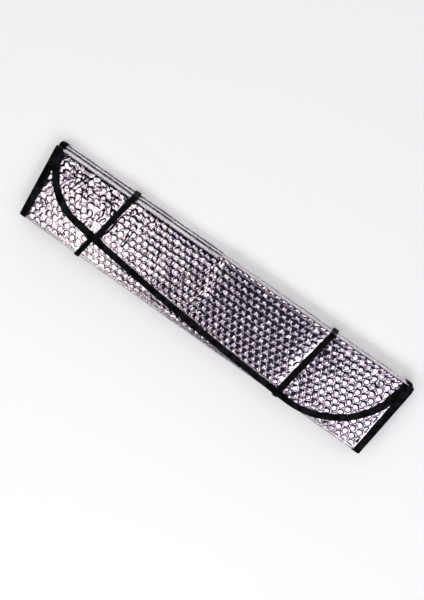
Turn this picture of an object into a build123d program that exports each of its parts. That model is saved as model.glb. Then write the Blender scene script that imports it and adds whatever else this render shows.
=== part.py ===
from build123d import *
import math
import os

os.makedirs("parts", exist_ok=True)

# Folding car windscreen sunshade, folded shut. Millimetres, +Z up.
# X runs along the folded pack, the outer fold of the top panel is on the +Y side
# and the curved free edges of the first and last panels are on the -Y side.

# Driving dimensions
panel_count = 10
length = 600.0
width = 125.0
sheet = 2.8
gap = 0.4
foil = 0.25

# Edge binding: woven tape folded over the pressed rim of the sheet
tape_width = 10.0
tape = 0.5
rim = sheet - 2 * tape

# Pressed creases: half-round strips centred on each fold line
crease_outer = 1.7
crease_inner = 1.0
crease_gap = 0.3

# Free edge of the two end panels: a small and a large corner arc and a shallow bow
left_edge = -296.0
left_radius = 88.0
left_centre_y = 62.0
left_sweep = 82.4
right_edge = 292.0
right_radius = 113.0
right_centre_y = 51.5
right_sweep = 92.6
front_bow = 4.3

# Elastic bands: place along the pack, lean over its width, strap section, and how far
# across the pack each of the two sewn ends stops
band_width = 8.0
band = 1.0
band_clear = 0.3
band_corner = 1.6
band_x = {"left": -177.0, "right": 164.5}
band_lean = {"left": 12.5, "right": 5.9}
band_inner_end = {"left": -19.2, "right": -50.0}
band_outer_end = {"left": -31.2, "right": -61.4}

pitch = sheet + gap
height = (panel_count - 1) * pitch + sheet
hinge_y = width / 2 - crease_outer
slab_y = hinge_y - crease_gap
channel = band + band_clear
beyond = 40.0


def middle_outline(inset):
    """Plan of a middle panel, drawn in from its two bound ends."""
    with BuildSketch() as outline:
        Rectangle(length - 2 * inset, 2 * slab_y)
    return outline.sketch


def end_outline(inset):
    """Plan of a first or last panel, drawn in from its curved free edge."""
    with BuildSketch() as outline:
        with BuildLine():
            left = CenterArc(
                (left_edge + left_radius, left_centre_y), left_radius, 180, left_sweep
            )
            right = CenterArc(
                (right_edge - right_radius, right_centre_y),
                right_radius,
                360 - right_sweep,
                right_sweep,
            )
            SagittaArc(left @ 1, right @ 0, -front_bow)
            Polyline(
                right @ 1,
                (right_edge, slab_y + beyond),
                (left_edge, slab_y + beyond),
                left @ 0,
            )
        make_face()
        if inset:
            offset(amount=-inset, kind=Kind.INTERSECTION)
        with Locations((0, slab_y + beyond)):
            Rectangle(2 * length, 2 * beyond, mode=Mode.SUBTRACT)
    return outline.sketch


def band_plan(side, margin):
    """Leaning strip that a band covers across the pack, with a margin each side."""
    half = band_width / 2 / math.cos(math.radians(band_lean[side])) + margin
    reach = width
    shift = reach * math.tan(math.radians(band_lean[side]))
    with BuildSketch() as plan:
        with BuildLine():
            Polyline(
                (band_x[side] - shift - half, -reach),
                (band_x[side] - shift + half, -reach),
                (band_x[side] + shift + half, reach),
                (band_x[side] + shift - half, reach),
                close=True,
            )
        make_face()
    return plan.sketch


def dent(region, bottom, top, margin):
    """The part of a panel region that the two bands press in, between two heights."""
    with BuildPart() as pressed:
        for side in band_x:
            with BuildSketch(Plane.XY.offset(bottom)):
                add(band_plan(side, margin))
                add(region, mode=Mode.INTERSECT)
            extrude(amount=top - bottom)
    return pressed.part


def sewn_tab(side):
    """End of a band lying between the binding and the pressed rim of the top panel."""
    with BuildPart() as tab:
        with BuildSketch(Plane.XY.offset(height - tape - band)):
            add(end_outline(2 * tape))
            add(end_outline(tape_width - tape), mode=Mode.SUBTRACT)
            add(band_plan(side, 0), mode=Mode.INTERSECT)
        extrude(amount=band)
    return tab.part


def save(builder, name):
    builder.part.label = name
    export_step(builder.part, f"parts/{name}.step")


for number in range(1, panel_count + 1):
    base = (number - 1) * pitch
    top = base + sheet
    first = number == 1
    last = number == panel_count
    plan_of = end_outline if first or last else middle_outline
    outline = plan_of(0)
    rim_plan = plan_of(tape)
    face_plan = plan_of(tape_width)
    name = f"panel_{number:02d}"

    with BuildPart() as core:
        with BuildSketch(Plane.XY.offset(base + tape)):
            add(rim_plan)
        extrude(amount=rim)
        with BuildSketch(Plane.XY.offset(base + foil)):
            add(face_plan)
        extrude(amount=sheet - 2 * foil)
        if first:
            add(dent(face_plan, base, channel + foil, band_clear + foil), mode=Mode.SUBTRACT)
            add(
                dent(outline - face_plan, base, channel + tape, band_clear),
                mode=Mode.SUBTRACT,
            )
        if last:
            add(
                dent(face_plan, top - channel - foil, top, band_clear + foil),
                mode=Mode.SUBTRACT,
            )
            for side in band_x:
                add(sewn_tab(side), mode=Mode.SUBTRACT)
    save(core, f"{name}_bubble_core")

    with BuildPart() as lower:
        with BuildSketch(Plane.XY.offset(base)):
            add(face_plan)
        extrude(amount=foil)
        if first:
            add(dent(face_plan, base, channel + foil, band_clear + foil))
            add(dent(outline, base, channel, band_clear), mode=Mode.SUBTRACT)

    with BuildPart() as upper:
        with BuildSketch(Plane.XY.offset(top - foil)):
            add(face_plan)
        extrude(amount=foil)
        if last:
            add(dent(face_plan, top - channel - foil, top, band_clear + foil))
            add(dent(outline, top - channel, top, band_clear), mode=Mode.SUBTRACT)

    # The upper face of an odd panel and the under face of an even one face the same way
    front = upper if number % 2 else lower
    back = lower if number % 2 else upper
    save(front, f"{name}_front_foil")
    save(back, f"{name}_back_foil")

    with BuildPart() as binding:
        with BuildSketch(Plane.XY.offset(base)):
            add(outline)
            add(face_plan, mode=Mode.SUBTRACT)
        extrude(amount=sheet)
        with BuildSketch(Plane.XY.offset(base + tape)):
            add(rim_plan)
        extrude(amount=rim, mode=Mode.SUBTRACT)
        if first:
            add(dent(outline - face_plan, base, channel + tape, band_clear))
            add(dent(outline, base, channel, band_clear), mode=Mode.SUBTRACT)
    save(binding, f"{name}_{'edge_binding' if first or last else 'end_bindings'}")

# Creases: each holds two neighbouring panels together on alternate sides of the pack
for number in range(1, panel_count):
    side = 1 if number % 2 else -1
    axis_z = number * pitch - gap / 2
    beside_end = number in (1, panel_count - 1)
    start = left_edge if beside_end else -length / 2
    end = right_edge if beside_end else length / 2
    with BuildPart() as crease:
        with BuildSketch(Plane.YZ.offset(start)):
            with Locations((side * hinge_y, axis_z)):
                Circle(crease_outer)
                Circle(crease_inner, mode=Mode.SUBTRACT)
                with Locations((-side * crease_outer, 0)):
                    Rectangle(2 * crease_outer, 2 * crease_outer, mode=Mode.SUBTRACT)
            # Short tail that reaches the lower panel
            with Locations(
                (
                    side * (hinge_y - crease_gap / 2),
                    axis_z - (crease_inner + crease_outer) / 2,
                )
            ):
                Rectangle(crease_gap, crease_outer - crease_inner)
        extrude(amount=end - start)
    save(crease, f"crease_{number:02d}")

# Elastic bands: open loops whose ends are sewn under the binding of the top panel
outside = width / 2 + band_clear + band / 2
upper_z = height - band / 2
lower_z = height - pitch + band_clear + band / 2
for side in band_x:
    with BuildPart() as loop:
        with BuildSketch(Plane.YZ.offset(-length)):
            with BuildLine():
                FilletPolyline(
                    (band_inner_end[side], upper_z),
                    (outside, upper_z),
                    (outside, band / 2),
                    (-outside, band / 2),
                    (-outside, lower_z),
                    (band_outer_end[side], lower_z),
                    radius=band_corner,
                )
            trace(line_width=band)
        extrude(amount=2 * length)
        with BuildSketch():
            add(band_plan(side, 0))
        extrude(amount=height, mode=Mode.INTERSECT)
    save(loop, f"elastic_band_{side}")

    with BuildPart() as tab:
        add(sewn_tab(side))
    save(tab, f"band_tab_{side}")
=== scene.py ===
import math

import bpy
import numpy as np
from mathutils import Matrix, Vector


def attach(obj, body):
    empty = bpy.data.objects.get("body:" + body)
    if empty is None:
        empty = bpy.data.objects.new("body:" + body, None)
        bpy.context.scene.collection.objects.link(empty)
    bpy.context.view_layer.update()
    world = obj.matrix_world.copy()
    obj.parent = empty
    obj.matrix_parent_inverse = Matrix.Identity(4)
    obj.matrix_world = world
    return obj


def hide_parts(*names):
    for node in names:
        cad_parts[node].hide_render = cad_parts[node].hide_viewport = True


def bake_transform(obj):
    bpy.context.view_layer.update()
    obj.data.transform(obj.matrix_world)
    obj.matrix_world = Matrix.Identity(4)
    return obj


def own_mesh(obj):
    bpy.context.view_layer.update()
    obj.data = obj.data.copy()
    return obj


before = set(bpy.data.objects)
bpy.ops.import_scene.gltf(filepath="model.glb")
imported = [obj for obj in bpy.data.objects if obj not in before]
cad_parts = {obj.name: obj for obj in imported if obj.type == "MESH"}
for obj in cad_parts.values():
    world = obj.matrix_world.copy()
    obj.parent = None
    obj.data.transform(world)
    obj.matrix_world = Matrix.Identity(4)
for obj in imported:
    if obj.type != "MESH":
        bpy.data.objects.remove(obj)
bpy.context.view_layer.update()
scene = bpy.context.scene

# Sizes in millimetres, as in the CAD model
PANELS = 10
LENGTH = 600.0
SHEET = 2.8
PITCH = 3.2
TOP = (PANELS - 1) * PITCH + SHEET
TAPE = 10.0
LEFT_EDGE, LEFT_RADIUS, LEFT_CENTRE_Y, LEFT_SWEEP = -296.0, 88.0, 62.0, 82.4
RIGHT_EDGE, RIGHT_RADIUS, RIGHT_CENTRE_Y, RIGHT_SWEEP = 294.0, 113.0, 51.5, 92.6
FRONT_BOW = 4.3
# Each band's place and lean in degrees; where it meets the binding's inner and outer
# edges; how far it drifts down the near side; and its narrower foot past the binding
BANDS = {
    "left": {
        "x": -177.0,
        "lean": 12.5,
        "inner": -19.2,
        "outer": -31.2,
        "drift": -5.0,
        "foot": -3.5,
        "width": 9.2,
    },
    "right": {
        "x": 164.5,
        "lean": 5.9,
        "inner": -50.0,
        "outer": -61.4,
        "drift": 4.0,
        "foot": 1.5,
        "width": 8.6,
    },
}

# Bubble film: round bubbles in staggered rows along the panel. Their spacing follows the
# photo, where the rows stand a little further apart than in a close-packed pattern.
BUBBLE = 10.9
ROW = 9.8
RELIEF = 0.9
# Where the flat film ends and the folds begin, and where the top fold changes its shape
FOLD_START = 57.5
STEP_X = -17.0
# The film runs to here under the end tapes, on a grid this fine along and across
FILM_END = 296.0
CELL_X, CELL_Y = 1.13, 1.223
# A bubble's wall begins at this share of its radius, and its crown sinks this much
CROWN, SAG = 0.78, 0.07


# ---------------------------------------------------------------- helpers


def soft_step(low, high, value):
    t = np.clip((value - low) / (high - low), 0, 1)
    return t * t * (3 - 2 * t)


def noise(x, y, cell, seed):
    """Smooth value noise from -1 to 1 with features about one cell across."""
    x, y = np.broadcast_arrays(np.asarray(x, float), np.asarray(y, float))
    size = 64
    table = np.random.default_rng(seed).uniform(-1, 1, (size, size))
    u, v = x / cell + 500.0, y / cell + 500.0
    i, j = np.floor(u).astype(int), np.floor(v).astype(int)
    fu, fv = u - i, v - j
    fu, fv = fu * fu * (3 - 2 * fu), fv * fv * (3 - 2 * fv)
    a = table[i % size, j % size] * (1 - fu) + table[(i + 1) % size, j % size] * fu
    b = table[i % size, (j + 1) % size] * (1 - fu)
    b = b + table[(i + 1) % size, (j + 1) % size] * fu
    return a * (1 - fv) + b * fv


def mesh_object(name, points, faces, material):
    """A mesh from points in millimetres."""
    mesh = bpy.data.meshes.new(name)
    mesh.from_pydata((np.asarray(points, float) / 1000).tolist(), [], faces)
    mesh.validate()
    mesh.polygons.foreach_set("use_smooth", [True] * len(mesh.polygons))
    mesh.materials.append(material)
    obj = bpy.data.objects.new(name, mesh)
    scene.collection.objects.link(obj)
    return obj


def tube(rings):
    """Points and faces of a skin over equal rings of points, capped at both ends."""
    rings = np.asarray(rings, float)
    count, around = rings.shape[:2]
    index = np.arange(count * around).reshape(count, around)
    faces = []
    for i in range(count - 1):
        a, b = index[i], index[i + 1]
        for j in range(around):
            k = (j + 1) % around
            faces.append((a[j], a[k], b[k], b[j]))
    faces.append(tuple(index[0][::-1]))
    faces.append(tuple(index[-1]))
    return rings.reshape(-1, 3), [tuple(int(v) for v in f) for f in faces]


def join(parts):
    """One point array and face list from several."""
    points, faces, base = [], [], 0
    for p, f in parts:
        points.append(p)
        faces += [tuple(v + base for v in face) for face in f]
        base += len(p)
    return np.vstack(points), faces


# ---------------------------------------------------------------- plan shapes


def end_outline(step=2.0):
    """The curved free edge of the first and last panels, from fold to fold."""
    left_c = np.array([LEFT_EDGE + LEFT_RADIUS, LEFT_CENTRE_Y])
    right_c = np.array([RIGHT_EDGE - RIGHT_RADIUS, RIGHT_CENTRE_Y])

    def arc(centre, radius, start, end):
        count = int(abs(math.radians(end - start)) * radius / step) + 2
        a = np.radians(np.linspace(start, end, count))
        return centre + radius * np.stack([np.cos(a), np.sin(a)], 1)

    left = arc(left_c, LEFT_RADIUS, 180, 180 + LEFT_SWEEP)
    left = left[left[:, 1] < FOLD_START]
    left = np.vstack([[left[0, 0] - 0.1, FOLD_START], left])
    right = arc(right_c, RIGHT_RADIUS, 360 - RIGHT_SWEEP, 360)
    p, q = left[-1], right[0]
    chord = q - p
    t = np.linspace(0, 1, int(np.linalg.norm(chord) / step))[1:-1, None]
    away = np.array([chord[1], -chord[0]]) / np.linalg.norm(chord)
    bow = p + chord * t + away * FRONT_BOW * 4 * t * (1 - t)
    end = np.array([[RIGHT_EDGE, y] for y in np.linspace(RIGHT_CENTRE_Y, FOLD_START, 4)[1:]])
    return np.vstack([left, bow, right, end])


OUTLINE = end_outline()
DENSE = end_outline(1.0)


def edge_distance(x, y, end_panel):
    """How far a point lies inside the bound edge of its panel."""
    if not end_panel:
        return LENGTH / 2 - np.abs(x)
    points = np.stack([x.ravel(), y.ravel()], 1)
    nearest = np.full(len(points), 1e9)
    for chunk in np.array_split(DENSE, 8):
        d = np.hypot(*(points[:, None] - chunk[None]).transpose(2, 0, 1)).min(1)
        nearest = np.minimum(nearest, d)
    lowest = np.interp(points[:, 0], DENSE[:, 0], DENSE[:, 1])
    inside = (points[:, 1] > lowest) & (points[:, 0] > DENSE[0, 0])
    inside &= points[:, 0] < RIGHT_EDGE
    return np.where(inside, nearest, -nearest).reshape(x.shape)


def band_offset(side, x, y):
    """Distance of a point from a band's centre line, across the band."""
    lean = math.radians(BANDS[side]["lean"])
    return (x - BANDS[side]["x"] - y * math.tan(lean)) * math.cos(lean)


# ---------------------------------------------------------------- bubble film


def bubbles(x, y, seed):
    """Height of the foil over the bubbles, from 0 between them to 1 on their tops."""
    rng = np.random.default_rng(seed)
    size = 80
    tall = rng.uniform(0.82, 1.06, (size, size))
    lean_x = rng.normal(0, 0.02, (size, size))
    lean_y = rng.normal(0, 0.02, (size, size))
    best = np.full(x.shape, 1e9)
    out = np.zeros(x.shape)
    row = np.floor(y / ROW - 0.5)
    for step in (-1, 0, 1, 2):
        j = (row + step).astype(int)
        cy = (j + 0.5) * ROW
        shift = (j % 2) * BUBBLE / 2
        i = np.round((x - shift) / BUBBLE).astype(int)
        cx = i * BUBBLE + shift
        dx, dy = x - cx, y - cy
        r = np.hypot(dx, dy)
        a, b = i % size, j % size
        t = r / (0.5 * BUBBLE)
        wall = soft_step(1.0, CROWN, t)
        crown = 1 - SAG * np.clip(t / CROWN, 0, 1) ** 2
        lean = (lean_x[a, b] * dx + lean_y[a, b] * dy) / RELIEF
        h = (tall[a, b] * crown + lean) * wall
        out = np.where(r < best, h, out)
        best = np.minimum(r, best)
    return out


def gather(x, y, amount):
    """Moves grid points outward from each bubble's middle, to crowd them on its wall."""
    best = np.full(x.shape, 1e9)
    dx, dy = np.zeros(x.shape), np.zeros(x.shape)
    row = np.floor(y / ROW - 0.5)
    for step in (0, 1):
        j = row + step
        shift = (j % 2) * BUBBLE / 2
        ox = x - np.round((x - shift) / BUBBLE) * BUBBLE - shift
        oy = y - (j + 0.5) * ROW
        r = np.hypot(ox, oy)
        dx, dy = np.where(r < best, ox, dx), np.where(r < best, oy, dy)
        best = np.minimum(best, r)
    t = np.clip(best / (0.5 * BUBBLE), 1e-6, 1)
    grow = amount * ((1 - (1 - t) ** 1.6) / t - 1)
    return x + grow * dx, y + grow * dy


def crinkle(x, y, seed):
    """Sharp little folds of the film, mostly along the panel, from 0 to about 1."""
    x = 0.6 * x
    a = 1 - np.abs(noise(x, y, 7.0, seed))
    b = 1 - np.abs(noise(x + 3 * noise(x, y, 15.0, seed + 5), y, 4.0, seed + 1))
    return (a**4 + 0.6 * b**4) / 1.6


# Larger wrinkles of the top panel: plan points, height and half width
WRINKLES = [
    ([(-233, 50), (-242, 32), (-251, 12)], 0.55, 1.5),
    ([(-228, 48), (-237, 30), (-246, 8)], 0.45, 1.3),
    ([(-233, 50), (-231, 28), (-224, 5)], 0.50, 1.6),
    ([(-262, 47), (-255, 30), (-262, 20)], 0.40, 1.4),
    ([(-272, 50), (-262, 34)], 0.35, 1.5),
    ([(-214, 46), (-206, 20), (-210, -8)], 0.30, 1.5),
    ([(-185, 51), (-190, 39), (-187, 28)], -0.50, 1.3),
    ([(-191, 27), (-187, 12), (-193, -3)], -0.60, 1.5),
    ([(-189, -2), (-195, -12), (-190, -21)], -0.55, 1.3),
    ([(-182, 44), (-186, 31), (-181, 17)], 0.40, 1.1),
    ([(-196, 8), (-198, -6), (-201, -16)], 0.45, 1.2),
    ([(-162, 30), (-166, 5), (-172, -16)], 0.45, 1.5),
    ([(-152, 46), (-156, 24), (-154, 8)], 0.35, 1.6),
    ([(-140, 25), (-141, 8), (-142, -10)], -0.60, 1.5),
    ([(-137, 26), (-138, 8), (-139, -12)], 0.45, 1.2),
    ([(-89, 15), (-86, 2), (-85, -14)], -0.50, 1.4),
    ([(-86, 16), (-83, 2), (-82, -14)], 0.35, 1.3),
    ([(-13, 61), (-21, 45), (-6, 14), (-12, -8), (-17, -22), (-10, -38)], 0.50, 1.8),
    ([(-9, 60), (-15, 45), (-2, 13), (-7, -8)], -0.40, 1.6),
    ([(166, -24), (172, -38), (177, -51)], 0.60, 1.5),
    ([(178, -22), (172, -38), (164, -55)], 0.60, 1.5),
    ([(152, 28), (154, 6), (149, -20)], 0.30, 1.5),
    ([(262, 38), (268, 31), (274, 22)], 0.50, 1.5),
    ([(256, 44), (262, 36)], -0.35, 1.5),
]


def near_line(x, y, line):
    """Distance from a bent line, and 1 along it fading to 0 at its ends."""
    line = np.array(line, float)
    best = np.full(x.shape, 1e9)
    place = np.zeros(x.shape)
    runs = np.hypot(*np.diff(line, axis=0).T)
    done = np.concatenate([[0], np.cumsum(runs)])
    for k, (p, q) in enumerate(zip(line, line[1:])):
        along = (q - p) / runs[k]
        t = np.clip((x - p[0]) * along[0] + (y - p[1]) * along[1], 0, runs[k])
        d = np.hypot(x - p[0] - t * along[0], y - p[1] - t * along[1])
        place = np.where(d < best, done[k] + t, place)
        best = np.minimum(best, d)
    t = place / done[-1]
    return best, np.clip(4 * t, 0.15, 1) * np.clip(4 * (1 - t), 0.15, 1)


def wrinkles(x, y):
    """Height of the top panel's wrinkles, and how far they flatten its bubbles."""
    rng = np.random.default_rng(7)
    lines = list(WRINKLES)
    for _ in range(70):
        start = rng.uniform((-286, -20), (-130, 54))
        turn, length = rng.normal(1.9, 0.55), rng.uniform(7, 22)
        end = start + length * np.array([math.cos(turn), math.sin(turn)])
        bend = (start + end) / 2 + rng.normal(0, 1.5, 2)
        lines.append(([start, bend, end], rng.uniform(-0.25, 0.35), rng.uniform(0.9, 1.5)))
    for side in BANDS:
        lean = math.tan(math.radians(BANDS[side]["lean"]))
        for _ in range(34 if side == "left" else 20):
            y0 = rng.uniform(BANDS[side]["inner"] + 4, 54)
            x0 = BANDS[side]["x"] + y0 * lean
            out = rng.choice((-1, 1))
            start = np.array([x0 + out * 4.5, y0])
            end = start + (out * rng.uniform(4, 12), rng.normal(0, 7))
            bend = (start + end) / 2 + rng.normal(0, 1.2, 2)
            lines.append(([start, bend, end], rng.uniform(-0.45, 0.4), rng.uniform(0.8, 1.2)))
    height, flat = np.zeros(x.shape), np.zeros(x.shape)
    for line, rise, width in lines:
        low, high = np.min(line, axis=0) - 8, np.max(line, axis=0) + 8
        part = (x > low[0]) & (x < high[0]) & (y > low[1]) & (y < high[1])
        if not part.any():
            continue
        d, fade = near_line(x[part], y[part], line)
        height[part] += 1.5 * rise * fade * np.exp(-((d / width) ** 1.5))
        reach = width + 0.5 + 2.0 * abs(rise)
        flat[part] = np.maximum(flat[part], fade * np.exp(-((d / reach) ** 2)))
    return height, flat


def fold_margin(x, y, panel, face):
    """Width of the smooth strip beside a fold, where the bubbles are pressed out."""
    margin = np.full(x.shape, 6.5)
    if panel == PANELS and face > 0:
        margin = 5.0 - 4.0 * soft_step(STEP_X - 6, STEP_X + 6, x)
    return margin + 0.6 * noise(x, 0 * y, 9.0, 300 + panel)


def film(x, y, panel, face):
    """Distance of the foil from the panel's middle plane on its upper or lower face."""
    end_panel = panel in (1, PANELS)
    seed = panel * 10 + (face > 0)
    inside = edge_distance(x, y, end_panel)
    outermost = (panel == PANELS and face > 0) or (panel == 1 and face < 0)
    from_fold = FOLD_START - (y if end_panel else np.abs(y))
    margin = fold_margin(x, y, panel, face)
    pressed = soft_step(0.0, 1.0, from_fold / margin)
    if panel == PANELS and face > 0:
        # Right of the step the bubbles run on over the fold
        pressed = np.maximum(pressed, soft_step(STEP_X - 4, STEP_X + 4, x))
    bound = soft_step(8.5, 13.0, inside)
    lumps = bubbles(x, y, seed) * pressed * (0.15 + 0.85 * bound)
    folds = 0.16 * crinkle(x, y, seed + 3)
    if panel == PANELS and face > 0:
        height, flat = wrinkles(x, y)
        loose = soft_step(-20.0, -190.0, x)
        lumps = lumps * (1 - 0.75 * flat) * (1 - 0.45 * loose)
        # The film is loose and crumpled at the left, and lies quietest between the step
        # and the right band
        quiet = soft_step(-20.0, 60.0, x) * soft_step(175.0, 145.0, x)
        folds = folds * (1 + 2.2 * loose) * (1 - 0.75 * quiet)
        folds = folds + height * (0.2 + 0.8 * bound)
    if panel == PANELS - 1 and face > 0:
        loose = soft_step(-110.0, -180.0, x)
        lumps = lumps * (1 - 0.55 * loose)
        folds = folds * (1 + 2.2 * loose)
    squeezed = 0.75 - 0.55 * soft_step(margin, 0.0, from_fold)
    half = SHEET / 2 - RELIEF + RELIEF * lumps
    half = half + (1 - pressed) * squeezed
    half = half + folds * (0.4 + 0.6 * pressed)
    half = half + 0.25 * noise(x, y, 40.0, seed + 7)
    if not outermost:
        # Faces inside the pack press flat against each other
        touching = True
        if panel == PANELS - 1 and face > 0:
            touching = edge_distance(x, y, True) > 0
        half = np.where(touching, np.minimum(half, PITCH / 2 - 0.15), half)
    if outermost:
        for side in BANDS:
            d = band_offset(side, x, y)
            strap = soft_step(7.0, 4.4, np.abs(d))
            floor = SHEET / 2 - 1.45
            half = half * (1 - strap) + floor * strap
            half = half - 0.4 * np.exp(-((d / 14.0) ** 2)) * (1 - strap)
    return np.maximum(half, 0.12)


def drape(x, y, panel):
    """Small rise and fall of a whole panel about its middle plane."""
    share = panel / PANELS
    rise = 0.5 * noise(x, y * 0.6, 90.0, 900 + panel) * soft_step(FOLD_START, 30, np.abs(y))
    if panel == PANELS:
        rise = rise - 0.45 * soft_step(20.0, 6.0, edge_distance(x, y, True))
    return rise * share


def panel_mesh(panel):
    """A closed mesh of one panel's film, its edges hidden inside the binding."""
    end_panel = panel in (1, PANELS)
    xs = np.linspace(-FILM_END, FILM_END, int(2 * FILM_END / CELL_X) + 1)
    low = -62.0 if end_panel else -FOLD_START
    rows = int(round((FOLD_START - low) / CELL_Y))
    ys = np.linspace(low, FOLD_START, rows + 1)
    x, y = np.meshgrid(xs, ys, indexing="ij")
    keep = edge_distance(x, y, end_panel) > 3.0
    cells = keep[:-1, :-1] & keep[1:, :-1] & keep[:-1, 1:] & keep[1:, 1:]
    # Points crowd on the bubble walls, but the outer rows and columns stay straight
    border = np.minimum(FOLD_START - np.abs(y), FILM_END - np.abs(x))
    settled = soft_step(0.0, 3.0, border)
    x, y = gather(x, y, settled)
    middle = (panel - 1) * PITCH + SHEET / 2 + drape(x, y, panel)
    used = np.zeros(x.shape, bool)
    for a in (slice(0, -1), slice(1, None)):
        for b in (slice(0, -1), slice(1, None)):
            used[a, b] |= cells
    number = np.full(x.shape, -1)
    number[used] = np.arange(used.sum())
    count = int(used.sum())
    points = []
    for face in (1, -1):
        z = np.maximum(middle + face * film(x, y, panel, face), 0.0)
        points.append(np.stack([x[used], y[used], z[used]], 1))
    a, b = number[:-1, :-1][cells], number[1:, :-1][cells]
    c, d = number[1:, 1:][cells], number[:-1, 1:][cells]
    upper = np.stack([a, b, c, d], 1)
    lower = np.stack([d, c, b, a], 1) + count
    # Walls between the two faces, wherever a cell has no neighbour
    walls = []
    padded = np.pad(cells, 1)
    inner = padded[1:-1, 1:-1]
    for shift, p, q in (
        (padded[1:-1, :-2], (0, 0), (1, 0)),
        (padded[2:, 1:-1], (1, 0), (1, 1)),
        (padded[1:-1, 2:], (1, 1), (0, 1)),
        (padded[:-2, 1:-1], (0, 1), (0, 0)),
    ):
        i, j = np.nonzero(inner & ~shift)
        s, e = number[i + p[0], j + p[1]], number[i + q[0], j + q[1]]
        walls.append(np.stack([e, s, s + count, e + count], 1))
    faces = np.vstack([upper, lower] + walls)
    return np.vstack(points), faces.tolist()


# ---------------------------------------------------------------- folds


def fold_side(number):
    """+1 where a fold is on the +Y side of the pack, -1 on the other."""
    return 1 if number % 2 else -1


# How far each near fold stands out, left and right of the top panel's step
NEAR_FOLDS = {1: (62.9, 61.6), 3: (59.9, 59.8), 5: (62.4, 62.6), 7: (59.3, 60.2), 9: (59.4, 64.4)}


def fold_reach(number, x):
    """How far a fold stands out from the middle of the pack."""
    if number in NEAR_FOLDS:
        left, right = NEAR_FOLDS[number]
        return left + (right - left) * soft_step(STEP_X - 6, STEP_X + 6, x)
    return 61.9 + 0.6 * math.sin(number * 1.9) + 0 * x


# Share of the way out along a fold's upper skin, with more points near its nose
OUTWARD = 1 - (1 - np.linspace(0, 1, 11)) ** 1.8


def rounded_nose(number, x, outer, inner, reach, blunt=2.35, lumps=0.0):
    """Section of the film round one fold: outer skin, then the tight inner one.

    outer and inner are each a (lower panel, upper panel) pair of distances from the
    panels' middle planes at the start of the fold; lumps stand on the upper skin."""
    lower = (number - 1) * PITCH + SHEET / 2
    upper = lower + PITCH
    axis = (lower + upper) / 2
    low, high = lower - outer[0], upper + outer[1]
    out = FOLD_START + (reach - FOLD_START) * OUTWARD
    rise = (high - low) / 2 * np.sqrt(1 - OUTWARD**blunt)
    top = (low + high) / 2 + rise + lumps
    bottom = (low + high) / 2 - rise
    b = np.radians(np.linspace(90, -90, 5))
    iy = np.concatenate([[FOLD_START], reach - 1.4 + 0.6 * np.cos(b), [FOLD_START]])
    iz = axis + 0.45 * np.sin(b)
    iz = np.concatenate([[upper - inner[1]], iz, [lower + inner[0]]])
    y = np.concatenate([out[:-1], out[::-1], iy])
    z = np.concatenate([bottom[:-1], top[::-1], iz])
    side = fold_side(number)
    ring = np.stack([np.full(len(y), x), side * y, z], 1)
    return ring if side > 0 else ring[::-1]


def crease_mesh(number):
    xs = np.linspace(-FILM_END, FILM_END, 420)
    if number in (1, PANELS - 1):
        xs = xs[xs < RIGHT_EDGE - 2]
    y = np.full(len(xs), fold_side(number) * FOLD_START)
    grid = (xs[:, None], y[:, None])
    low_out = film(*grid, number, -1)[:, 0]
    low_in = film(*grid, number, 1)[:, 0]
    high_out = film(*grid, number + 1, 1)[:, 0]
    high_in = film(*grid, number + 1, -1)[:, 0]
    reach = fold_reach(number, xs) + 0.35 * noise(xs, 0, 30.0, 40 + number)
    reach = reach + 0.25 * noise(xs, 0, 6.0, 60 + number)
    for side in BANDS:
        d = band_offset(side, xs, y)
        reach = reach - 0.5 * np.exp(-((d / 9.0) ** 2))
    lumps = np.zeros((len(xs), len(OUTWARD)))
    blunt = np.full(len(xs), 2.35)
    if number == PANELS - 1:
        # Right of the step the top panel runs on flat, with its bubbles, over the fold
        right = soft_step(STEP_X - 4, STEP_X + 4, xs)
        blunt = blunt + 5.0 * right
        out = FOLD_START + (reach - FOLD_START)[:, None] * OUTWARD
        across = np.repeat(xs[:, None], len(OUTWARD), axis=1)
        lumps = film(across, out, PANELS, 1) - high_out[:, None]
        lumps = lumps * right[:, None] * soft_step(1.0, 0.8, OUTWARD)
    rings = [
        rounded_nose(number, x, (a, b), (c, d), *rest)
        for x, a, b, c, d, *rest in zip(
            xs, low_out, high_out, low_in, high_in, reach, blunt, lumps
        )
    ]
    return tube(rings)


# ---------------------------------------------------------------- binding tape


def slip(panel, end):
    """How far a panel's end tape stands past its neighbours', at one end of the pack."""
    if panel in (1, PANELS):
        return 0.0
    if panel == PANELS - 1:
        return 0.9 + end * 1.5
    return end * (-2.6 + 1.25 * (8 - panel) + 0.5 * math.sin(2.1 * panel + end))


def tape_half(y):
    """Half thickness of the bound edge, thinner where it goes into a fold."""
    return 1.5 - 0.35 * soft_step(51.5, FOLD_START, np.abs(y))


def tape_section(half, inner_edge, samples=9):
    """Flattened section: (distance in from the edge, height) round the tape."""
    a = np.radians(np.linspace(-90, 90, samples))
    nose = np.stack([1.3 - 1.6 * np.cos(a), half * np.sin(a)], 1)
    top = np.stack([np.linspace(3.0, inner_edge - 0.5, 4), np.full(4, half)], 1)
    end = np.array([[inner_edge, half - 0.25], [inner_edge, 0.25 - half]])
    low = top[::-1] * [1, -1]
    return np.vstack([nose, top, end, low])


def path_frames(path):
    """Tangent and inward normal along a plan path that keeps the panel on its left."""
    tangent = np.gradient(path, axis=0)
    tangent /= np.linalg.norm(tangent, axis=1)[:, None]
    return tangent, np.stack([-tangent[:, 1], tangent[:, 0]], 1)


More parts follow.
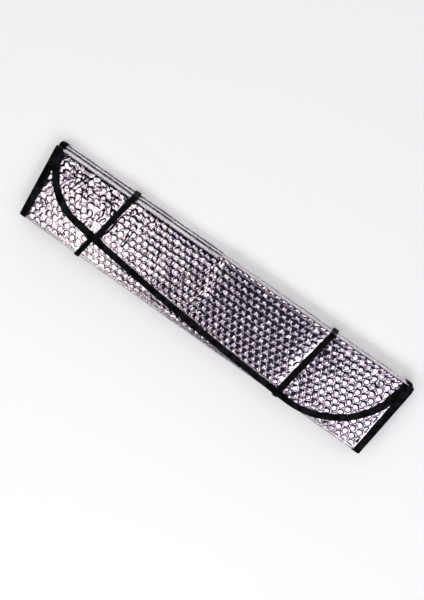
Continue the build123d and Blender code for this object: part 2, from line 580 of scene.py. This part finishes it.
def tape_mesh(panel, path, seed):
    """Tape folded over a panel's edge along a plan path."""
    _, inward = path_frames(path)
    middle = (panel - 1) * PITCH + SHEET / 2
    run = np.concatenate([[0], np.cumsum(np.hypot(*np.diff(path, axis=0).T))])
    width = TAPE + 0.3 + 1.4 * soft_step(-120.0, -220.0, path[:, 0])
    width = width + 0.3 * noise(run, 0, 14.0, seed) + 0.2 * noise(run, 0, 5.0, seed + 1)
    swell = 0.10 * noise(run, 0, 9.0, seed + 2)
    rings = []
    for p, n, w, s in zip(path, inward, width, swell):
        section = tape_section(tape_half(p[1]) + s * (abs(p[1]) < 50), w)
        xy = p + section[:, :1] * n
        rise = drape(np.array([p[0]]), np.array([p[1]]), panel)[0]
        rings.append(np.column_stack([xy, middle + rise + section[:, 1]]))
    return tube(rings)


def end_shift(panel, end):
    """From the nominal end of the pack to the outer edge of a panel's tape."""
    if panel in (1, PANELS):
        return (LEFT_EDGE if end < 0 else RIGHT_EDGE) - end * LENGTH / 2
    return slip(panel, end)


def tape_nose(number, end):
    """The tape where it turns round a fold at one end (-1 or 1) of the pack."""
    rings = []
    half = float(tape_half(FOLD_START))
    for t, thin in ((0.0, 0.3), (0.12, 0.0), (0.5, 0.0), (0.9, 0.0), (1.0, 0.12)):
        x = end * (LENGTH / 2 - TAPE * (1 - t) + 0.3 * t)
        reach = float(fold_reach(number, np.array(x))) + 0.45 - thin
        ring = rounded_nose(number, x, (half - thin,) * 2, (half - thin,) * 2, reach)
        # From the lower panel's tape to the upper's, which end at different places
        up = np.clip(0.5 + (ring[:, 2] - number * PITCH + 0.2) / 5.5, 0, 1)
        ring[:, 0] += (1 - up) * end_shift(number, end) + up * end_shift(number + 1, end)
        rings.append(ring)
    return tube(rings if end > 0 else rings[::-1])


def stitches(panel, path, inset=8.5, pitch=3.3, length=2.4):
    """A row of thread stitches on both faces of the tape, along its inner edge."""
    _, inward = path_frames(path)
    line = path + inset * inward
    run = np.concatenate([[0], np.cumsum(np.hypot(*np.diff(line, axis=0).T))])
    middle = (panel - 1) * PITCH + SHEET / 2
    parts = []
    around = np.radians(np.arange(0, 360, 60))
    for s in np.arange(pitch, run[-1] - pitch, pitch):
        at = np.array([[np.interp(s + d, run, line[:, k]) for k in (0, 1)] for d in (-1, 1)])
        along = (at[1] - at[0]) / np.linalg.norm(at[1] - at[0])
        across = np.array([-along[1], along[0]])
        centre = at.mean(0)
        rise = drape(centre[:1], centre[1:], panel)[0]
        for face in (1, -1):
            z = middle + rise + face * (float(tape_half(centre[1])) + 0.02)
            rings = []
            for t, r in ((-1, 0.1), (-0.6, 0.24), (0.6, 0.24), (1, 0.1)):
                c = centre + along * t * length / 2
                xy = c + across * r * np.cos(around)[:, None]
                rings.append(np.column_stack([xy, z + r * np.sin(around)]))
            parts.append(tube(rings))
    return join(parts)


# ---------------------------------------------------------------- elastic bands


def rounded_route(points, radius, steps=6):
    """A route of straight runs with its corners rounded, in the Y-Z plane."""
    points = [np.array(p, float) for p in points]
    out = [points[0]]
    for before, corner, after in zip(points, points[1:], points[2:]):
        u = (before - corner) / np.linalg.norm(before - corner)
        v = (after - corner) / np.linalg.norm(after - corner)
        centre = corner + (u + v) * radius
        for t in np.linspace(0, math.pi / 2, steps):
            out.append(centre - v * radius * math.cos(t) - u * radius * math.sin(t))
    out.append(points[-1])
    route = [out[0]]
    for p, q in zip(out, out[1:]):
        count = max(1, int(np.linalg.norm(q - p) / 4))
        route += [p + (q - p) * t for t in np.linspace(0, 1, count + 1)[1:]]
    return np.array(route)


def band_mesh(side):
    """A ribbed elastic strap round the pack, open where it is sewn under the binding."""
    spec = BANDS[side]
    outside = 63.3
    under = TOP - PITCH + 0.8
    route = rounded_route(
        [
            (spec["inner"] - 1.5, TOP - 0.75),
            (outside, TOP - 0.5),
            (outside, 0.5),
            (-outside, 0.5),
            (-outside, under),
            (spec["outer"] + 1.0, under),
        ],
        1.6,
    )
    along = np.gradient(route, axis=0)
    along /= np.linalg.norm(along, axis=1)[:, None]
    out = np.stack([-along[:, 1], along[:, 0]], 1)
    lean = math.tan(math.radians(spec["lean"]))
    across = np.linspace(-1, 1, 25)
    half = spec["width"] / 2 / math.cos(math.radians(spec["lean"]))
    thick = 0.5 * (1 - np.abs(across) ** 8 * 0.55) * (1 - 0.10 * np.cos(across * math.pi * 6))
    u = np.concatenate([across, across[::-1]]) * half
    v = np.concatenate([thick, -thick[::-1]])
    rings = []
    for k, (p, n) in enumerate(zip(route, out)):
        low = soft_step(spec["inner"] - 2.0, spec["outer"] + 2.0, p[0]) * (p[1] > TOP / 2)
        wide = 1 + 0.015 * math.sin(k * 0.9) - 0.14 * low
        yz = p + v[:, None] * n
        # The strap drifts along the pack on its way down the near side, and back underneath
        down = 1 - np.clip(p[1] / TOP, 0, 1)
        drift = spec["drift"] * down * soft_step(-outside, outside, p[0])
        x = spec["x"] + p[0] * lean + drift + spec["foot"] * low + u * wide
        rings.append(np.column_stack([x, yz]))
    return tube(rings)


# ---------------------------------------------------------------- materials


def material(name, **values):
    """A material whose Principled shader takes these socket values."""
    mat = bpy.data.materials.new(name)
    mat.use_nodes = True
    shader = mat.node_tree.nodes["Principled BSDF"]
    for socket, value in values.items():
        shader.inputs[socket.replace("_", " ")].default_value = value
    return mat, mat.node_tree, shader


def add_node(tree, kind, **settings):
    node = tree.nodes.new(kind)
    for key, value in settings.items():
        if key in node.inputs:
            node.inputs[key].default_value = value
        else:
            setattr(node, key, value)
    return node


def object_noise(tree, scale, detail=3.0, stretch=None):
    """Noise over the object's own coordinates; scale is features per metre."""
    where = add_node(tree, "ShaderNodeTexCoord").outputs["Object"]
    if stretch:
        mapping = add_node(tree, "ShaderNodeMapping")
        mapping.inputs["Scale"].default_value = stretch
        tree.links.new(where, mapping.inputs["Vector"])
        where = mapping.outputs["Vector"]
    node = add_node(tree, "ShaderNodeTexNoise", Scale=scale, Detail=detail)
    tree.links.new(where, node.inputs["Vector"])
    return node.outputs["Fac"]


def ramp(tree, source, low, high, start=0.3, end=0.7):
    """A colour ramp from one colour or grey to another."""
    node = add_node(tree, "ShaderNodeValToRGB")
    elements = node.color_ramp.elements
    for element, place, value in zip(elements, (start, end), (low, high)):
        element.position = place
        element.color = (*value, 1) if hasattr(value, "__len__") else (value,) * 3 + (1,)
    tree.links.new(source, node.inputs["Fac"])
    return node.outputs["Color"]


def bump(tree, shader, layers):
    """Stacked bumps from (height source, strength, distance in metres)."""
    normal = None
    for height, strength, distance in layers:
        node = add_node(tree, "ShaderNodeBump", Strength=strength, Distance=distance)
        tree.links.new(height, node.inputs["Height"])
        if normal:
            tree.links.new(normal, node.inputs["Normal"])
        normal = node.outputs["Normal"]
    tree.links.new(normal, shader.inputs["Normal"])


def foil_material(name, low, high, rough):
    mat, tree, shader = material(name, Metallic=1.0)
    tint = ramp(tree, object_noise(tree, 55, 4.0), low, high, 0.35, 0.65)
    tree.links.new(tint, shader.inputs["Base Color"])
    gloss = ramp(tree, object_noise(tree, 400, 2.0), rough * 0.75, rough * 1.35)
    tree.links.new(gloss, shader.inputs["Roughness"])
    fine = object_noise(tree, 900, 2.0)
    folds = object_noise(tree, 330, 3.0, (0.45, 1.0, 1.0))
    bump(tree, shader, [(folds, 0.35, 0.0008), (fine, 0.25, 0.0002)])
    return mat


def woven_material(name, colour, high, along, rough=0.85):
    """Black woven tape: two crossed sets of threads with lint-grey variation."""
    mat, tree, shader = material(name, Metallic=0.0)
    shader.inputs["Sheen Weight"].default_value = 0.02
    shader.inputs["Sheen Roughness"].default_value = 0.5
    shader.inputs["Specular IOR Level"].default_value = 0.06
    tint = ramp(tree, object_noise(tree, 110, 6.0), colour, high, 0.42, 0.64)
    tree.links.new(tint, shader.inputs["Base Color"])
    gloss = ramp(tree, object_noise(tree, 900, 2.0), rough - 0.12, rough + 0.1)
    tree.links.new(gloss, shader.inputs["Roughness"])
    where = add_node(tree, "ShaderNodeTexCoord").outputs["Object"]
    layers = []
    for direction, scale, distance in along:
        wave = add_node(
            tree, "ShaderNodeTexWave", Scale=scale, Distortion=0.6, wave_type="BANDS"
        )
        wave.bands_direction = direction
        wave.inputs["Detail"].default_value = 1.0
        tree.links.new(where, wave.inputs["Vector"])
        layers.append((wave.outputs["Fac"], 0.45, distance))
    layers.append((object_noise(tree, 2500, 2.0), 0.3, 0.0001))
    bump(tree, shader, layers)
    return mat


FOIL = foil_material("foil", (0.56, 0.48, 0.57), (0.64, 0.56, 0.62), 0.15)
# The folds' foil is smoother, and its colour is painted much lighter than the flat foil: a
# painted highlight that brightens the pack's long sides
PRESSED_FOIL_PAINTED_LIGHT = foil_material("pressed_foil_painted_light", (0.70, 0.67, 0.69), (0.88, 0.85, 0.87), 0.24)
TAPE_CLOTH = woven_material(
    "binding_cloth",
    (0.0006, 0.0007, 0.0010),
    (0.0090, 0.0095, 0.0110),
    (("X", 260.0, 0.00012), ("Y", 260.0, 0.00012)),
)
THREAD = woven_material(
    "thread", (0.004, 0.004, 0.005), (0.010, 0.010, 0.012), (("DIAGONAL", 500.0, 0.0001),), 0.6
)
ELASTIC = woven_material(
    "elastic",
    (0.0018, 0.0018, 0.0022),
    (0.005, 0.005, 0.006),
    (("X", 120.0, 0.0002), ("Y", 330.0, 0.00015), ("Z", 330.0, 0.00015)),
    0.8,
)

# ---------------------------------------------------------------- pieces


def place(name, geometry, mat, body, slot):
    points, faces = geometry
    points[:, 2] = np.maximum(points[:, 2], 0.0)
    obj = mesh_object(name, points, faces, mat)
    if body:
        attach(obj, body)
    return obj


for panel in range(1, PANELS + 1):
    body = f"panel_{panel:02d}"
    end_panel = panel in (1, PANELS)
    sheet = place(f"{body}_film", panel_mesh(panel), FOIL, body, "back_foil")
    nodes = [f"{body}_{part}" for part in ("bubble_core", "front_foil", "back_foil")]
    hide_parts(*nodes)
    ys = np.linspace(-FOLD_START, FOLD_START, 59)
    if end_panel:
        tapes = [tape_mesh(panel, OUTLINE, 70 + panel)]
        seams = [stitches(panel, OUTLINE)]
        node = f"{body}_edge_binding"
    else:
        left = np.stack([np.full(len(ys), slip(panel, -1) - LENGTH / 2), ys[::-1]], 1)
        right = np.stack([np.full(len(ys), slip(panel, 1) + LENGTH / 2), ys], 1)
        tapes = [tape_mesh(panel, path, 70 + panel) for path in (left, right)]
        seams = [stitches(panel, path) for path in (left, right)]
        node = f"{body}_end_bindings"
    tape = place(f"{body}_binding", join(tapes), TAPE_CLOTH, body, "binding_tape")
    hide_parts(node)
    seam = place(f"{body}_stitching", join(seams), THREAD, body, "binding_tape")

for number in range(1, PANELS):
    side = fold_side(number)
    # The folds take the smoother fold foil, whose lighter colour is painted light on the pack's
    # sides
    crease = place(
        f"crease_{number:02d}_film", crease_mesh(number), PRESSED_FOIL_PAINTED_LIGHT, None, "pressed_crease"
    )
    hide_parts(f"crease_{number:02d}")
    if number == PANELS - 1:
        # Right of the step its film is not pressed, so it keeps the flat foil and not the fold
        # foil that is painted lighter
        crease.data.materials.append(FOIL)
        for face in crease.data.polygons:
            face.material_index = int(face.center.x * 1000 > STEP_X)
    turns = place(
        f"crease_{number:02d}_binding",
        join([tape_nose(number, end) for end in (-1, 1)]),
        TAPE_CLOTH,
        None,
        "binding_tape",
    )
    for obj in (crease, turns):
        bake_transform(obj)

for side in BANDS:
    band = place(
        f"band_{side}", band_mesh(side), ELASTIC, f"elastic_band_{side}", "elastic"
    )
    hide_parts(f"elastic_band_{side}")
    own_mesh(band)
    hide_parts(f"band_tab_{side}")

# ---------------------------------------------------------------- floor, light, camera


def studio():
    floor_mat, tree, shader = material("floor", Roughness=0.9)
    shader.inputs["Base Color"].default_value = (0.92, 0.92, 0.92, 1)
    bpy.ops.mesh.primitive_plane_add(size=12, location=(0, 0, -0.0004))
    floor = bpy.context.object
    floor.name = "floor"
    floor.data.materials.append(floor_mat)

    world = bpy.data.worlds.new("studio")
    world.use_nodes = True
    scene.world = world
    tree = world.node_tree
    background = tree.nodes["Background"]
    where = add_node(tree, "ShaderNodeTexCoord").outputs["Generated"]
    split = add_node(tree, "ShaderNodeSeparateXYZ")
    tree.links.new(where, split.inputs[0])
    # Dark overhead and pale along the horizon, less so past the pack's ends
    sideways = add_node(tree, "ShaderNodeMath", operation="ABSOLUTE")
    tree.links.new(split.outputs["X"], sideways.inputs[0])
    level = ramp(tree, sideways.outputs[0], 0.50, 0.20, 0.45, 0.90)
    up = ramp(tree, split.outputs["Z"], 1.0, 0.0, 0.08, 0.34)
    mixed = add_node(tree, "ShaderNodeMix", data_type="RGBA")
    mixed.inputs["A"].default_value = (0.006, 0.004, 0.022, 1)
    tree.links.new(up, mixed.inputs["Factor"])
    tree.links.new(level, mixed.inputs["B"])
    tree.links.new(mixed.outputs["Result"], background.inputs["Color"])
    background.inputs["Strength"].default_value = 1.0

    def softbox(name, place, target, size, glow, tint=(1, 1, 1)):
        """A rectangular light whose face has a brightness of glow, where white cloth is 1."""
        light = bpy.data.lights.new(name, "AREA")
        light.shape = "RECTANGLE"
        light.size, light.size_y = size
        light.color = tint
        light.energy = glow * math.pi * size[0] * size[1]
        obj = bpy.data.objects.new(name, light)
        obj.location = place
        look = Vector(target) - Vector(place)
        obj.rotation_euler = look.to_track_quat("-Z", "Y").to_euler()
        scene.collection.objects.link(obj)

    def overhead(name, x, y, size, glow, tint=(1, 1, 1)):
        softbox(name, (x, y, 1.3), (x, y, 0), size, glow, tint)

    # Two sets of short bright strips that the foil mirrors, with a dark gap between them
    warm, cool, strip_glow = (1.0, 0.98, 0.92), (0.94, 0.93, 1.0), 7.5
    for k, (y, deep) in enumerate(((-0.46, 0.13), (-0.80, 0.10))):
        overhead(f"left_strip_{k}", -0.47, y, (0.54, deep), strip_glow, warm)
        overhead(f"right_strip_{k}", 0.74, y + 0.04, (0.50, deep + 0.08), strip_glow, cool)
    overhead("far_strip", -0.35, -1.25, (2.1, 0.26), 1.1)
    # Long strips beside the pack, for the bright lines along the rows of bubbles
    softbox("near_strip", (0, 1.7, 1.7), (0, 0, 0), (2.8, 0.20), 1.5)
    softbox("low_near_strip", (0, 2.6, 0.6), (0, 0, 0), (3.4, 0.60), 2.0)
    softbox("low_far_strip", (0, -2.1, 1.1), (0, 0, 0), (2.8, 0.20), 1.5)
    # A wide soft fill for the floor and the cloth, which the foil doesn't mirror
    fill = bpy.data.objects.new("fill", bpy.data.lights.new("fill", "SUN"))
    fill.data.energy = 2.3
    fill.data.angle = math.radians(120)
    fill.rotation_euler = (math.radians(-20), 0, 0)
    fill.visible_glossy = False
    scene.collection.objects.link(fill)


def add_camera():
    data = bpy.data.cameras.new("camera")
    data.sensor_fit = "VERTICAL"
    data.sensor_height = 36.0
    data.lens = 36.0 * 677.7 / 600
    data.shift_x, data.shift_y = 0.0781, -0.0349
    camera = bpy.data.objects.new("camera", data)
    right = Vector((0.8146, 0.5153, -0.2662)).normalized()
    back = Vector((0.0876, 0.3444, 0.9347)).normalized()
    up = back.cross(right).normalized()
    turn = Matrix((up.cross(back), up, back)).transposed().to_4x4()
    camera.matrix_world = Matrix.Translation((0.0215, 0.3225, 0.9393)) @ turn
    scene.collection.objects.link(camera)
    scene.camera = camera


studio()
add_camera()
scene.view_settings.view_transform = "Standard"
